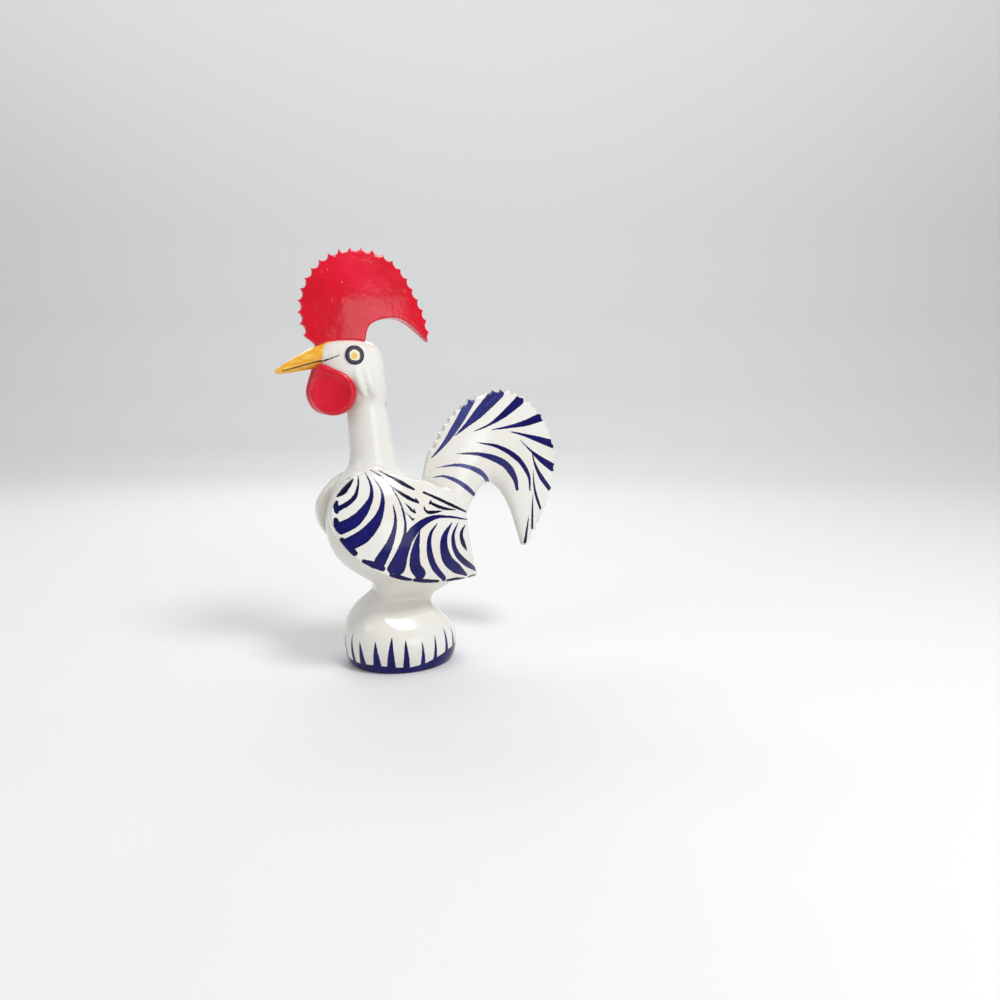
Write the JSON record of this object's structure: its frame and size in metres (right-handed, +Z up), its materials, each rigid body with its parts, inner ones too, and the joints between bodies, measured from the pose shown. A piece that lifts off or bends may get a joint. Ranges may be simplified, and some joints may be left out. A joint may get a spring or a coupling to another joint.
{
  "type": "ceramic rooster ornament",
  "caption": "Free-standing glazed earthenware rooster on an oval foot, with a saw-edged comb and sickle tail, for display on a shelf or table.",
  "frame": {"origin": "middle of the foot's flat underside, on the table", "axes": "+Z up, beak towards -X, the bird's left side towards -Y"},
  "size_m": [0.2175, 0.0846, 0.2991],
  "materials": {
    "white_glaze": "glossy white tin glaze with cobalt brushwork",
    "red_glaze": "glossy red enamel glaze",
    "yellow_glaze": "glossy orange-yellow glaze",
    "eye_glaze": "glossy navy glaze with a cream and yellow middle"
  },
  "bodies": {
    "root": {"pedestal": "white_glaze", "trunk": "white_glaze", "neck": "white_glaze", "head": "white_glaze", "left_cheek_folds": "white_glaze", "right_cheek_folds": "white_glaze", "left_wing": "white_glaze", "right_wing": "white_glaze", "tail": "white_glaze", "comb": "red_glaze", "left_wattle": "red_glaze", "right_wattle": "red_glaze", "beak": "yellow_glaze", "left_eye": "eye_glaze", "right_eye": "eye_glaze"}
  },
  "joints": []
}
